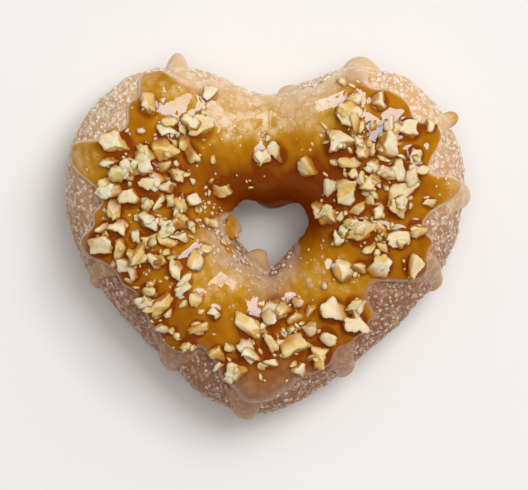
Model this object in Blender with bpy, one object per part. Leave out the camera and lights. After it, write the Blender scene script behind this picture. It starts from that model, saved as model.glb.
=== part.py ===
"""Heart-shaped ring doughnut: a heart of fried dough with a heart-shaped hole, a
caramel glaze that drips over its shoulders, and chopped nuts set in the glaze.

Metres, +Z up. The notch of the heart points along +Y and its tip along -Y. The
doughnut lies flat, with the origin under the middle of its bounding box. Its
surface is described in polar form about the middle of the hole: a heading round
the ring, and a roll angle round the ring's cross-section.
"""

import bpy
import numpy as np

MM = 0.001

# Where the middle of the hole lies, seen from the origin.
HOLE_MIDDLE = np.array([-0.1, 1.3]) * MM

# The heart outlines, as a radius about the middle of the hole: a plain circle and
# four swellings, each (heading in degrees, rise, spread in degrees).
RIM_RADIUS = 36.8 * MM
RIM_SWELLS = {
    "right lobe": (34.6, 15.7 * MM, 37.8),
    "left lobe": (148.2, 16.7 * MM, 38.9),
    "tip": (263.5, 8.4 * MM, 19.7),
    "notch": (90.0, -13.6 * MM, 17.8),
}
HOLE_RADIUS = 6.0 * MM
HOLE_SWELLS = {
    "right lobe": (19.4, 2.8 * MM, 32.0),
    "left lobe": (107.3, 6.4 * MM, 58.4),
    "tip": (271.8, 2.5 * MM, 24.1),
    "notch": (94.0, -4.3 * MM, 26.0),
}

# The ring's cross-section: a squarish oval that stands on a flattened underside.
CREST_HEIGHT = 30.0 * MM
CREST_SWELLS = {
    "right lobe": (30.0, 1.2 * MM, 30.0),
    "left lobe": (150.0, 1.6 * MM, 32.0),
    "notch": (90.0, -2.6 * MM, 22.0),
    "tip": (264.0, -1.4 * MM, 22.0),
}
WAIST_SHARE = 0.46
SQUARENESS = 2.3
UNDERSIDE_SINK = 1.08
LUMP_HEIGHT = 0.35 * MM

# The glaze. Roll 0 is the outside of the ring, 90 its crest and 180 the hole.
GLAZE_GAP = 0.42 * MM
GLAZE_DEPTH = 1.3 * MM
GLAZE_LIP = 0.45 * MM
LIP_WIDTH = 0.12
OUTER_EDGE_ROLL = 50.0
INNER_EDGE_ROLL = 136.0

# Where the glaze's edges wander: (heading, reach outwards in degrees of roll, spread
# in degrees of heading). A negative reach is a bay where bare dough shows.
OUTER_BAYS = (
    (14.0, 15.0, 6.0),
    (63.0, 28.0, 6.5),
    (124.0, 20.0, 7.0),
    (158.0, 26.0, 6.0),
    (185.0, 18.0, 7.0),
    (225.0, 8.0, 9.0),
    (268.0, 20.0, 11.0),
    (105.0, -20.0, 10.0),
    (244.0, -16.0, 8.0),
    (331.0, -23.0, 9.0),
)
INNER_BAYS = (
    (84.0, 44.0, 38.0),
    (195.0, -20.0, 24.0),
    (249.0, 12.0, 9.0),
    (345.0, 6.0, 14.0),
)

# Drips that run down from an edge: (heading, roll at the top, roll at the end, half
# width at the bead, depth of the bead).
DRIPS = (
    (9.5, 68.0, -6.0, 2.2 * MM, 0.1 * MM),
    (31.5, 66.0, -14.0, 1.8 * MM, 1.5 * MM),
    (61.0, 60.0, -10.0, 2.6 * MM, 1.3 * MM),
    (79.5, 66.0, -4.0, 1.5 * MM, 0.2 * MM),
    (119.5, 64.0, -6.0, 2.2 * MM, 1.9 * MM),
    (195.0, 66.0, -10.0, 2.4 * MM, 0.6 * MM),
    (229.0, 66.0, -14.0, 2.6 * MM, 1.0 * MM),
    (262.5, 60.0, -8.0, 2.4 * MM, 0.4 * MM),
    (296.5, 68.0, -10.0, 2.5 * MM, 0.6 * MM),
    (342.0, 78.0, -10.0, 2.3 * MM, 0.5 * MM),
    (87.0, 150.0, 196.0, 2.4 * MM, 1.0 * MM),
    (249.0, 124.0, 190.0, 1.8 * MM, 0.8 * MM),
)
DRIP_SPREAD = 1.7
DRIP_BACK_LIFT = 0.12 * MM

# The chopped nuts that stand out, each (x, y, length, width, turn in degrees),
# with x and y about the middle of the hole.
BIG_CHIPS = (
    (-36.6, 21.5, 8.0, 6.2, -15),
    (-25.6, 19.8, 6.8, 5.4, -10),
    (-17.0, 25.3, 7.0, 5.6, 20),
    (-38.2, 10.8, 6.0, 5.2, 30),
    (-40.6, -2.8, 7.4, 4.8, -5),
    (-31.4, -6.5, 5.4, 5.2, 10),
    (-22.6, -9.2, 6.8, 4.0, -60),
    (-25.6, -17.8, 6.4, 5.2, 40),
    (-25.4, 0.6, 5.8, 4.6, 25),
    (-2.0, 18.0, 5.2, 4.2, 60),
    (2.4, 19.4, 5.6, 4.0, -70),
    (-12.0, 11.0, 5.0, 3.8, -10),
    (-4.2, -23.4, 8.8, 3.8, -35),
    (-7.8, -34.2, 6.2, 5.6, 15),
    (2.6, -19.4, 6.2, 5.6, 50),
    (6.0, -27.4, 7.4, 5.4, 20),
    (12.4, -29.8, 6.4, 5.0, -60),
    (16.0, -19.2, 7.2, 5.6, -30),
    (20.6, -21.6, 7.4, 5.8, -55),
    (27.2, -7.9, 6.2, 5.6, 80),
    (23.2, -0.4, 8.2, 5.4, 20),
    (15.4, 4.6, 7.0, 5.4, -65),
    (32.0, -1.6, 6.8, 3.6, 10),
    (35.2, -8.2, 6.0, 4.6, 75),
    (19.8, 29.0, 6.2, 5.6, 60),
    (17.4, 21.8, 7.4, 6.2, -30),
    (28.2, 22.0, 8.6, 6.4, -35),
    (34.4, 24.6, 7.0, 4.4, 10),
    (20.4, 10.6, 6.8, 5.8, 40),
    (33.2, 11.2, 8.2, 4.6, 20),
    (31.4, 6.2, 6.8, 5.8, -60),
)
# Where the rest are strewn: heaps (x, y, half length, half width, number of chips).
CHIP_HEAPS = (
    (-29.0, 12.0, 11.0, 18.0, 17),
    (-26.0, -11.0, 9.0, 13.0, 7),
    (29.0, 15.0, 11.0, 14.0, 11),
    (27.0, -4.0, 11.0, 9.0, 6),
    (4.0, -27.0, 17.0, 9.0, 10),
)
SMALL_CHIP_LENGTHS = (3.0 * MM, 5.4 * MM)
CHIP_TRIES = 60
CHIP_SPACING = 0.86
CHIP_HEIGHT_SHARE = 0.72
CHIP_TILT = 26.0
CHIP_SINK = 0.85 * MM
CHIP_FLAT = 0.35
CHIP_CUTS = 9
CHIP_ROUNDING = 9.0
CHIP_EDGE_MARGIN = 7.0
CHIP_SEED = 14

# Mesh steps round the ring, round its section, and across the glaze and its drips.
RING_STEPS = 88
SECTION_STEPS = 18
GLAZE_ACROSS = np.array([0.0, 0.04, 0.12, 0.24, 0.36, 0.48, 0.60, 0.72, 0.84, 0.95, 1.0])
DRIP_STEPS = (8, 5)


def swelling(heading, middle, spread):
    """A smooth hump of height 1 at one heading of the ring, in degrees."""
    away = (heading - middle + 180.0) % 360.0 - 180.0
    return np.exp(-0.5 * (away / spread) ** 2)


def swollen(heading, base, swells):
    """A base size plus its named swellings."""
    return base + sum(
        rise * swelling(heading, middle, spread)
        for middle, rise, spread in swells.values()
    )


def signed_power(value, power):
    """The power of a number's size, with the number's own sign."""
    return np.sign(value) * np.abs(value) ** power


def dough_point(heading, roll):
    """The point of the dough's surface at a heading and a roll, both in degrees."""
    turn, round_section = np.radians(heading), np.radians(roll)
    rim = swollen(heading, RIM_RADIUS, RIM_SWELLS)
    hole = swollen(heading, HOLE_RADIUS, HOLE_SWELLS)
    crest = swollen(heading, CREST_HEIGHT, CREST_SWELLS)
    outward = signed_power(np.cos(round_section), 2 / SQUARENESS)
    upward = signed_power(np.sin(round_section), 2 / SQUARENESS)
    radius = (rim + hole) / 2 + (rim - hole) / 2 * outward
    waist = crest * WAIST_SHARE
    lumps = LUMP_HEIGHT * (
        np.sin(5 * turn + 2 * round_section) + np.sin(9 * turn - 3 * round_section + 1)
    )
    above = waist + (crest - waist + lumps) * upward
    below = waist * (1 + UNDERSIDE_SINK * upward)
    height = np.where(upward > 0, above, np.maximum(below, 0.0))
    x = HOLE_MIDDLE[0] + radius * np.cos(turn)
    y = HOLE_MIDDLE[1] + radius * np.sin(turn)
    return np.stack([x, y, height], axis=-1)


def dough_normal(heading, roll):
    """The outward unit normal of the dough, from its slopes both ways."""
    step = 0.5
    along = dough_point(heading + step, roll) - dough_point(heading - step, roll)
    across = dough_point(heading, roll + step) - dough_point(heading, roll - step)
    normal = np.cross(along, across)
    return normal / np.linalg.norm(normal, axis=-1, keepdims=True)


def wander(heading, bays):
    """How far an edge of the glaze reaches out at a heading, in degrees of roll."""
    return sum(reach * swelling(heading, middle, spread) for middle, reach, spread in bays)


def glaze_edges(heading):
    """The roll of the glaze's outer and inner edges at a heading."""
    outer = OUTER_EDGE_ROLL - wander(heading, OUTER_BAYS)
    return outer, INNER_EDGE_ROLL + wander(heading, INNER_BAYS)


def glaze_depth(share):
    """The glaze's depth. Share is 0 at its outer edge and 1 at its inner edge."""
    from_edge = np.minimum(np.minimum(share, 1 - share) / LIP_WIDTH, 1.0)
    return GLAZE_LIP + (GLAZE_DEPTH - GLAZE_LIP) * np.sqrt(1 - (1 - from_edge) ** 2)


def glaze_roll(heading, share):
    """The roll angle at a share of the way across the glaze."""
    outer, inner = glaze_edges(heading)
    return outer + (inner - outer) * share


def new_object(name, points, faces, material):
    """A mesh object with one material, its faces turned outwards and shaded smooth."""
    mesh = bpy.data.meshes.new(name)
    mesh.from_pydata(points.tolist(), [], faces)
    mesh.materials.append(material)
    mesh.shade_smooth()
    obj = bpy.data.objects.new(name, mesh)
    bpy.context.scene.collection.objects.link(obj)
    return obj


def new_material(name, colour, roughness):
    """A plain Principled material."""
    material = bpy.data.materials.new(name)
    material.use_nodes = True
    shader = material.node_tree.nodes["Principled BSDF"]
    shader.inputs["Base Color"].default_value = (*colour, 1.0)
    shader.inputs["Roughness"].default_value = roughness
    shader.inputs["Metallic"].default_value = 0.0
    return material


def loop_faces(rows, columns):
    """Quads of a grid of points that closes on itself both ways."""
    return [
        (
            row * columns + column,
            (row + 1) % rows * columns + column,
            (row + 1) % rows * columns + (column + 1) % columns,
            row * columns + (column + 1) % columns,
        )
        for row in range(rows)
        for column in range(columns)
    ]


def make_dough():
    """The ring of dough, on a grid of headings and rolls."""
    heading = np.arange(RING_STEPS)[:, None] * 360.0 / RING_STEPS
    roll = np.arange(SECTION_STEPS)[None, :] * 360.0 / SECTION_STEPS
    heading, roll = np.broadcast_arrays(heading, roll)
    points = dough_point(heading, roll).reshape(-1, 3)
    faces = loop_faces(RING_STEPS, SECTION_STEPS)
    crust = new_material("fried_dough", (0.62, 0.40, 0.24), 0.7)
    return new_object("dough", points, faces, crust)


def make_glaze():
    """The glaze: its outer skin, and the same path back just clear of the dough."""
    heading = np.arange(RING_STEPS)[:, None] * 360.0 / RING_STEPS
    share = GLAZE_ACROSS[None, :]
    heading, share = np.broadcast_arrays(heading, share)
    roll = glaze_roll(heading, share)
    skin, normal = dough_point(heading, roll), dough_normal(heading, roll)
    outer = skin + normal * (GLAZE_GAP + glaze_depth(share))[..., None]
    inner = (skin + normal * GLAZE_GAP)[:, ::-1]
    section = np.concatenate([outer, inner], axis=1)
    caramel = new_material("caramel_glaze", (0.55, 0.26, 0.04), 0.2)
    faces = loop_faces(*section.shape[:2])
    return new_object("caramel_and_nuts", section.reshape(-1, 3), faces, caramel)


def make_drip(number, heading, top, end, half_width, bead, material):
    """A drip: a rounded tongue laid down the dough's side, with a bead at its end."""
    down = np.linspace(0, 1, DRIP_STEPS[0])[:, None]
    outside = np.cos(np.linspace(np.pi, 0, DRIP_STEPS[1]))
    across = np.concatenate([outside, outside[::-2]])[None, :]
    inside = np.arange(across.size)[None, :] >= outside.size
    tapered = DRIP_SPREAD + (1 - DRIP_SPREAD) * np.minimum(down / 0.7, 1.0)
    rounded = np.sqrt(1 - (np.maximum(down - 0.8, 0.0) / 0.205) ** 2)
    reach = half_width * tapered * rounded * across
    roll = top + (end - top) * down + 0 * across
    middle = dough_point(heading, roll)[..., :2] - HOLE_MIDDLE
    turn = heading + np.degrees(reach / np.linalg.norm(middle, axis=-1))
    swell = bead * np.exp(-(((down - 0.8) / 0.22) ** 2))
    depth = GLAZE_DEPTH * np.minimum(0.7 + down, 1.0) - GLAZE_LIP + swell
    height = GLAZE_LIP + depth * np.sqrt(1 - across**2)
    lift = GLAZE_GAP + np.where(inside, DRIP_BACK_LIFT, height)
    points = dough_point(turn, roll) + dough_normal(turn, roll) * lift[..., None]
    rows, columns = roll.shape
    faces = loop_faces(rows, columns)[: (rows - 1) * columns]
    faces += [tuple(range(columns)), tuple(range(rows * columns - columns, rows * columns))[::-1]]
    if end > top:
        faces = [face[::-1] for face in faces]
    return new_object(f"drip_{number}", points.reshape(-1, 3), faces, material)


def ball_directions():
    """The 18 corners and 32 faces of an octahedron with its edges halved."""
    corners = [(1, 0, 0), (0, 1, 0), (-1, 0, 0), (0, -1, 0), (0, 0, 1), (0, 0, -1)]
    big_faces = [(i, (i + 1) % 4, 4) for i in range(4)]
    big_faces += [((i + 1) % 4, i, 5) for i in range(4)]
    middles, faces = {}, []

    def middle(a, b):
        pair = (min(a, b), max(a, b))
        if pair not in middles:
            middles[pair] = len(corners)
            corners.append(np.add(corners[a], corners[b]) / np.sqrt(2))
        return middles[pair]

    for a, b, c in big_faces:
        ab, bc, ca = middle(a, b), middle(b, c), middle(c, a)
        faces += [(a, ab, ca), (ab, b, bc), (ca, bc, c), (ab, bc, ca)]
    return np.array(corners, float), faces


def chip_shape(directions, draw):
    """A chopped piece of nut about 2 across: a ball cut by planes, edges eased."""
    normals = draw.normal(size=(CHIP_CUTS, 3))
    normals = np.concatenate([normals, -normals.sum(axis=0, keepdims=True)])
    normals /= np.linalg.norm(normals, axis=1, keepdims=True)
    depths = draw.uniform(0.62, 1.0, len(normals))
    facing = np.maximum(directions @ normals.T, 0.0) / depths
    facing = np.concatenate([facing, np.full((len(directions), 1), 0.86)], axis=1)
    radius = (facing**CHIP_ROUNDING).sum(axis=1) ** (-1 / CHIP_ROUNDING)
    shape = directions * radius[:, None]
    return shape / np.abs(shape).max(axis=0)


def turned(yaw, tilt, lean):
    """A rotation: lean over by a tilt in the direction of lean, then turn by yaw."""
    c, s = np.cos(yaw), np.sin(yaw)
    spin = np.array([[c, -s, 0], [s, c, 0], [0, 0, 1]])
    axis = np.array([np.cos(lean), np.sin(lean), 0.0])
    cross = np.cross(np.eye(3), axis)
    tip = np.eye(3) + np.sin(tilt) * cross + (1 - np.cos(tilt)) * cross @ cross
    return tip @ spin


def resting_place(x, y):
    """The heading, roll and share across the glaze of a plan position, or None
    where no glaze lies under it."""
    heading = np.degrees(np.arctan2(y, x)) % 360.0
    rim = swollen(heading, RIM_RADIUS, RIM_SWELLS)
    hole = swollen(heading, HOLE_RADIUS, HOLE_SWELLS)
    outward = (np.hypot(x, y) - (rim + hole) / 2) / ((rim - hole) / 2)
    if abs(outward) >= 1:
        return None
    roll = np.degrees(np.arccos(signed_power(outward, SQUARENESS / 2)))
    outer, inner = glaze_edges(heading)
    if not outer + CHIP_EDGE_MARGIN < roll < min(inner, 150.0) - CHIP_EDGE_MARGIN:
        return None
    return heading, roll, (roll - outer) / (inner - outer)


def strewn_chips(draw):
    """Every chip as (x, y, length, width, turn): the big ones, then small ones
    thrown at each heap and kept where they clear the chips already down."""
    chips = [(x * MM, y * MM, long * MM, wide * MM, np.radians(turn))
             for x, y, long, wide, turn in BIG_CHIPS]
    for x, y, half_long, half_wide, count in CHIP_HEAPS:
        kept = 0
        for _ in range(CHIP_TRIES * count):
            long = draw.uniform(*SMALL_CHIP_LENGTHS)
            wide = long * draw.uniform(0.6, 0.9)
            place = draw.normal(0, 0.5, 2) * (half_long, half_wide) + (x, y)
            turn = draw.uniform(0, 2 * np.pi)
            if kept == count or resting_place(*place * MM) is None:
                continue
            gaps = [np.hypot(place[0] * MM - c[0], place[1] * MM - c[1])
                    / (long + c[2]) * 2 for c in chips]
            if min(gaps) > CHIP_SPACING:
                chips.append((*place * MM, long, wide, turn))
                kept += 1
    return chips


def make_chips():
    """The nut chips as loose objects, each sunk a little into the glaze."""
    draw = np.random.default_rng(CHIP_SEED)
    directions, faces = ball_directions()
    material = new_material("chopped_nut", (0.85, 0.72, 0.45), 0.5)
    made = []
    for number, (x, y, long, wide, turn) in enumerate(strewn_chips(draw)):
        shape = chip_shape(directions, draw)
        size = np.array([long, wide, wide * CHIP_HEIGHT_SHARE]) / 2
        lean = turned(turn, np.radians(draw.uniform(0, CHIP_TILT)), draw.uniform(0, 6.28))
        found = resting_place(x, y)
        if found is None:
            continue
        heading, roll, share = (np.array(value) for value in found)
        up = dough_normal(heading, roll)
        east = np.cross([0.0, 1.0, 0.0], up)
        east /= np.linalg.norm(east)
        frame = np.stack([east, np.cross(up, east), up])
        points = (shape * size) @ lean.T
        points[:, 2] = np.maximum(points[:, 2] + CHIP_FLAT * size[2], 0.0)
        floor = GLAZE_GAP + glaze_depth(share) - CHIP_SINK
        centre = dough_point(heading, roll) + up * floor
        made.append(new_object(f"chip_{number}", points @ frame + centre, faces, material))
    return made


def fuse(obj, pieces):
    """Joins closed meshes into one object, and removes them."""
    collection = bpy.data.collections.new("pieces")
    bpy.context.scene.collection.children.link(collection)
    for piece in pieces:
        collection.objects.link(piece)
    join = obj.modifiers.new("join", "BOOLEAN")
    join.operand_type = "COLLECTION"
    join.collection = collection
    join.operation = "UNION"
    join.solver = "EXACT"
    bpy.context.view_layer.objects.active = obj
    bpy.ops.object.modifier_apply(modifier=join.name)
    for part in list(collection.objects):
        bpy.data.objects.remove(part)
    bpy.data.collections.remove(collection)


def main():
    for old in list(bpy.data.objects):
        bpy.data.objects.remove(old)
    make_dough()
    glaze = make_glaze()
    caramel = glaze.data.materials[0]
    drips = [make_drip(number, *drip, caramel) for number, drip in enumerate(DRIPS)]
    fuse(glaze, drips + make_chips())


main()
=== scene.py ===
"""A heart-shaped doughnut in a small, pale photo studio.

The doughnut is a ring of fried dough bent into a heart round a heart-shaped hole.
Its sides are rolled in sugar, a clear caramel glaze is poured over its top and
drips down the sides, and chopped nuts lie in the glaze. It lies flat, notch
towards +Y, and every surface is described in polar form about the middle of the
hole: a heading round the ring, and a roll round the ring's cross-section, where
roll 0 is the outside of the ring, 90 its crest and 180 the wall of the hole.
"""

import bmesh
import bpy
import numpy as np
from bpy.props import FloatProperty, FloatVectorProperty, IntProperty, PointerProperty
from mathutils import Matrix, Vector


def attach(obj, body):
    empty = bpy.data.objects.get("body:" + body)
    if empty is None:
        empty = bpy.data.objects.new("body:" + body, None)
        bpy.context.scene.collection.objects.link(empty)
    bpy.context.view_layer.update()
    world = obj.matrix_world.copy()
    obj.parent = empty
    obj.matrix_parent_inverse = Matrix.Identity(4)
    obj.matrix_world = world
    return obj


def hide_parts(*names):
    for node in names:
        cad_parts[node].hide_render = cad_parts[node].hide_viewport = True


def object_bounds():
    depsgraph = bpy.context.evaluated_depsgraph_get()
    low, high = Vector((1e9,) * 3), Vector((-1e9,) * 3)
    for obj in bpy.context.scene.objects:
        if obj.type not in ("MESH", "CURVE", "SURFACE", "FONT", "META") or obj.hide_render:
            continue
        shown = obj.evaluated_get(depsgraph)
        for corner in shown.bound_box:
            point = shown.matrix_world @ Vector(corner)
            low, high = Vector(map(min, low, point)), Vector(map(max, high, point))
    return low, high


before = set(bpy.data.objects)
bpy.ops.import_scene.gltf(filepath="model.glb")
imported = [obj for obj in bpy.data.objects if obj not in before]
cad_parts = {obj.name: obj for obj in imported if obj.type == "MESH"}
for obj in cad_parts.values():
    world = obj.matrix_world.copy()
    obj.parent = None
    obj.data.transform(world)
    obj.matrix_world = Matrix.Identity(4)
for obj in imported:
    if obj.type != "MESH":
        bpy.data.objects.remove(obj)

bl_info = {
    "name": "Heart-shaped doughnut",
    "version": (1, 0, 0),
    "blender": (4, 5, 0),
    "location": "3D View > Sidebar > Doughnut",
    "description": "Makes a sugared heart-shaped doughnut with caramel glaze and nuts",
    "category": "Add Mesh",
}

MM = 0.001

# Where the middle of the hole lies, seen from the origin.
HOLE_MIDDLE = np.array([-0.1, 1.3]) * MM

# The heart outlines, as a radius about the middle of the hole: a plain circle and
# four swellings, each (heading in degrees, rise, spread in degrees).
RIM_RADIUS = 36.8 * MM
RIM_SWELLS = {
    "right lobe": (34.6, 15.7 * MM, 37.8),
    "left lobe": (148.2, 16.7 * MM, 38.9),
    "tip": (263.5, 8.4 * MM, 19.7),
    "notch": (90.0, -13.6 * MM, 17.8),
}
HOLE_RADIUS = 6.0 * MM
HOLE_SWELLS = {
    "right lobe": (19.4, 2.8 * MM, 32.0),
    "left lobe": (107.3, 6.4 * MM, 58.4),
    "tip": (271.8, 2.5 * MM, 24.1),
    "notch": (94.0, -4.3 * MM, 26.0),
}
CREST_HEIGHT = 30.0 * MM
CREST_SWELLS = {
    "right lobe": (30.0, 1.2 * MM, 30.0),
    "left lobe": (150.0, 1.6 * MM, 32.0),
    "notch": (90.0, -2.6 * MM, 22.0),
    "tip": (264.0, -1.4 * MM, 22.0),
}
# The ring's section: how high its waist lies, as a share of the crest, how square it
# is, how far its underside would reach past the table, and its lumps.
WAIST_SHARE = 0.46
SQUARENESS = 2.3
UNDERSIDE_SINK = 1.08
LUMP_HEIGHT = 0.35 * MM

# The glaze's edges: (heading, reach outwards in degrees of roll, half width in
# degrees of heading). A negative reach is a bay where bare dough shows.
OUTER_EDGE_ROLL = 50.0
INNER_EDGE_ROLL = 150.0
OUTER_BAYS = (
    (3.5, -11, 5.5), (13.5, 21, 4.6), (21.5, -8, 3.6), (31, 13, 4.2), (48, 6, 5),
    (62.5, 34, 6), (94, 24, 22), (127, 25, 5.5), (145, -8, 6), (158, 29, 5.6),
    (168.5, -11, 4.5), (184.5, 20, 5.5), (202, -4, 6), (226, 9, 9), (244, -15, 7),
    (268, 14, 9), (291, 5, 8), (331.5, -25, 9), (345.5, 10, 5),
)
INNER_BAYS = (
    (84, 34, 56), (192, 4, 26), (228, -4, 8), (249, 12, 9), (300, 6, 13),
    (345, 23, 20), (20, 15, 19), (150, 17, 15),
)
# Where the glaze thins out into the dough with no clear edge: (heading, width in
# millimetres, half width in degrees of heading).
OUTER_FADES = ((110, 9, 11), (91, 5.5, 9), (71, 12, 12), (331, 1.2, 10), (243, 1, 8), (270, 9, 15))
INNER_FADES = ((195, 11, 32), (275, 10, 50), (84, 1, 50))
# How far in from its edge the glaze starts to hide the dough, over what width it
# does so at an ordinary edge, and how much wider each millimetre of a fade makes
# the edge's rounding.
EDGE_CLEAR = 0.45 * MM
EDGE_FADE = 0.7 * MM
FADE_ROUNDING = 0.3 * MM
# The share of its depth that the glaze loses on the wall of the hole, the roll at
# which that starts, and over how many degrees. The gloss ends a little lower.
WALL_THINNING = 0.55
WALL_ROLL, WALL_ROLL_SPAN = 115.0, 35.0
GLOSS_END_ROLL, GLOSS_ROLL_SPAN = 152.0, 25.0

# Drips from an edge: (heading, roll at the end, half width and height of the bead
# in millimetres, sideways bend in degrees, how amber the bead is, how hollow its
# flanks are).
DRIPS = (
    (11.0, -8, 2.8, 1.8, -1.0, 0.2, 1.3),
    (32.3, 0, 1.9, 3.1, -0.6, 1.0, 0.9),
    (60.5, -8, 2.9, 2.9, 0.5, 0.15, 1.6),
    (82.0, -2, 2.1, 1.5, 0.5, 0.35, 1.2),
    (118.5, -8, 2.4, 3.6, 0.5, 0.12, 1.9),
    (192.0, -16, 1.9, 1.7, 5.0, 0.8, 1.3),
    (231.0, -14, 3.0, 1.7, 2.5, 0.35, 1.2),
    (262.5, -12, 3.0, 1.8, 0.5, 0.6, 1.3),
    (300.5, -12, 3.0, 2.0, -1.5, 0.4, 1.2),
    (347.0, -14, 2.6, 2.3, -5.0, 0.8, 1.1),
    (78.0, 206, 3.3, 2.6, -2.0, 1.0, 1.6),
    (249.0, 184, 2.3, 3.5, 0.0, 0.6, 0.8),
)
# The richness, cover and gloss of a drip, and of one that ends so far down the wall
# of the hole, past this roll, that it is brown: deeper caramel and painted shade in
# the hole.
MILKY_DRIP, BROWN_DRIP = (0.34, 0.1, 0.6), (0.95, 0.9, 0.2)
BROWN_DRIP_ROLL = 200.0
# A drip's steps along and round it, how many degrees of roll it is tucked under the
# glaze, its depth before the bead, over what length its root narrows and its start
# rounds up, and how deep glaze and drips sink into the dough.
DRIP_STEPS = (48, 36)
DRIP_TUCK = 13.0
DRIP_FILM = 0.75 * MM
DRIP_ROOT = 7.0 * MM
DRIP_START = 1.5 * MM
GLAZE_SUNK = 0.45 * MM

# Bubbles in the glaze: (x, y, radius, height, hollow), x and y about the hole's
# middle, in millimetres. Hollow is 1 for a burst bubble, which leaves a ring, and 0
# for a whole one.
BUBBLES = (
    (-10.2, -4.6, 1.7, 0.8, 0), (41.0, 26.8, 1.5, 0.6, 1), (26.0, 36.9, 1.6, 0.6, 1),
    (13.0, 24.0, 0.9, 0.3, 0), (-25.5, 35.0, 1.1, 0.4, 0), (-3.0, -12.4, 0.8, 0.3, 0),
    (33.0, 27.2, 1.0, 0.4, 1), (-17.0, -26.5, 0.9, 0.3, 0), (12.4, -21.0, 0.8, 0.3, 1),
)

# How rich the caramel's colour is, from 0, clear, to 1, nearly brown: a base value
# and patches, each (x, y, half length, half width, turn in degrees, more or less),
# in millimetres about the hole's middle. The richer patches on the slope above the
# hole and over the lower part are painted shade as well.
RICHNESS = 0.56
RICH_PATCHES = {
    # Deeper caramel and painted shade: this slope faces away from the light.
    "slope above the hole": (1, 12, 19, 5.2, -4, 0.50),
    "right of the hole": (12.5, 5, 5.5, 9, 0, 0.40),
    "under the right heap": (27, 14, 9, 12, 0, 0.02),
    "under the left heap": (-30, 9, 7, 14, 0, 0.03),
    "under the lower heap": (8, -31, 14, 6, 15, 0.16),
    "lower left flank": (-30, -18, 14, 4.5, -48, 0.24),
    "lower right flank": (31, -8, 9, 4, 60, 0.14),
    "right pool": (43.5, 12, 4, 5, 0, -0.18),
    "upper left pool": (-27, 34, 7, 4, -20, -0.15),
    "left pool": (-43, 17, 5, 5, 0, -0.19),
    # Painted shade: the lower part is made darker as the side away from the light.
    "lower part": (0, -32, 26, 9, 0, 0.10),
    "top left": (-9, 25, 7, 6.5, -30, -0.32),
    "top middle": (3, 27, 5, 4, 0, -0.18),
    "top right": (14, 27, 6, 5, 25, -0.26),
    "left of the hole": (-15, -1, 5, 8, 15, -0.20),
    "left shoulder of the hole": (-10.5, 9, 3, 5, -40, 0.30),
    "below the hole": (0, -12, 16, 3.2, 0, -0.24),
    "lower left": (-13, -15, 7, 5, -40, -0.10),
    "between the lobes": (-1, 33, 14, 4, 0, -0.22),
    "lower right of the hole": (15, -7, 5, 5, 0, -0.14),
    "right of the tip": (17, -13.5, 6, 5, 30, -0.12),
}
# How much richer and darker the caramel is beside a nut, as deeper caramel and
# painted shade round the nut, out to what share of the nut's mean radius, and over
# what share that falls off.
SHADE_AND_RICHNESS_BESIDE_NUTS = 0.46
BESIDE_REACH, BESIDE_FALL = 0.92, 0.2
# How far the glaze climbs up a nut.
CHIP_CLIMB = 0.22 * MM

# Towards the tip, film and drips are painted darker and browner, which is painted
# shade of the side that the light leaves darker: the y where that starts for the
# glaze, for a drip over the rim, and for all inside the hole, and how far it takes.
GLAZE_SHADE_START, DRIP_SHADE_START, HOLE_SHADE_START = 2 * MM, 4 * MM, -9 * MM
TIP_SHADE_SPAN = 20 * MM
# The same painted shade, darker towards the tip, for crust and sugar: the y where
# it starts and where it is complete.
TIP_SPAN = (35 * MM, -14 * MM)
# The crust's colours: the height and half height of the pale line round the waist,
# the heights between which it turns brown underneath and soaked on top, and the
# distances from the hole's middle between which its wall is painted darker, as
# painted shade inside the hole.
WAIST_LINE, WAIST_LINE_HALF = 12.5 * MM, 3.5 * MM
UNDERSIDE_SPAN = (10.5 * MM, 2 * MM)
SOAKED_SPAN = (14 * MM, 24 * MM)
WALL_SHADE_SPAN = (17 * MM, 9 * MM)

# The chopped nuts that stand out, each (x, y, length, width, turn in degrees), in
# millimetres about the middle of the hole.
BIG_CHIPS = (
    (-36.6, 21.5, 8.0, 6.2, -15), (-25.6, 19.8, 6.8, 5.4, -10), (-17.0, 25.3, 7.0, 5.6, 20),
    (-38.2, 10.8, 6.0, 5.2, 30), (-40.6, -2.8, 7.4, 4.8, -5), (-31.4, -6.5, 5.4, 5.2, 10),
    (-22.6, -9.2, 6.8, 4.0, -60), (-25.6, -17.8, 6.4, 5.2, 40), (-25.4, 0.6, 5.8, 4.6, 25),
    (-2.0, 18.0, 5.2, 4.2, 60), (2.4, 19.4, 5.6, 4.0, -70), (-12.0, 11.0, 5.0, 3.8, -10),
    (-4.2, -23.4, 8.8, 3.8, -35), (-7.8, -34.2, 6.2, 5.6, 15), (2.6, -19.4, 6.2, 5.6, 50),
    (6.0, -27.4, 7.4, 5.4, 20), (12.4, -29.8, 6.4, 5.0, -60), (16.0, -19.2, 7.2, 5.6, -30),
    (20.6, -21.6, 7.4, 5.8, -55), (27.2, -7.9, 6.2, 5.6, 80), (23.2, -0.4, 8.2, 5.4, 20),
    (15.4, 4.6, 7.0, 5.4, -65), (32.0, -1.6, 6.8, 3.6, 10), (35.2, -8.2, 6.0, 4.6, 75),
    (19.8, 29.0, 6.2, 5.6, 60), (17.4, 21.8, 7.4, 6.2, -30), (28.2, 22.0, 8.6, 6.4, -35),
    (34.4, 24.6, 7.0, 4.4, 10), (20.4, 10.6, 6.8, 5.8, 40), (33.2, 11.2, 8.2, 4.6, 20),
    (31.4, 6.2, 6.8, 5.8, -60), (-9.9, 1.2, 5.6, 4.8, 35), (-29.2, 30.2, 6.2, 4.0, -65),
    (-15.0, 33.0, 4.8, 3.8, 80),
)
# Where the rest are strewn: heaps (x, y, half length, half width, number of chips).
CHIP_HEAPS = (
    (-29, 9, 10, 15, 19), (-26, -11, 9, 11, 6), (28, 13, 10, 12, 11), (27, -4, 10, 8, 5),
    (5, -27, 15, 8, 9),
)
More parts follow.
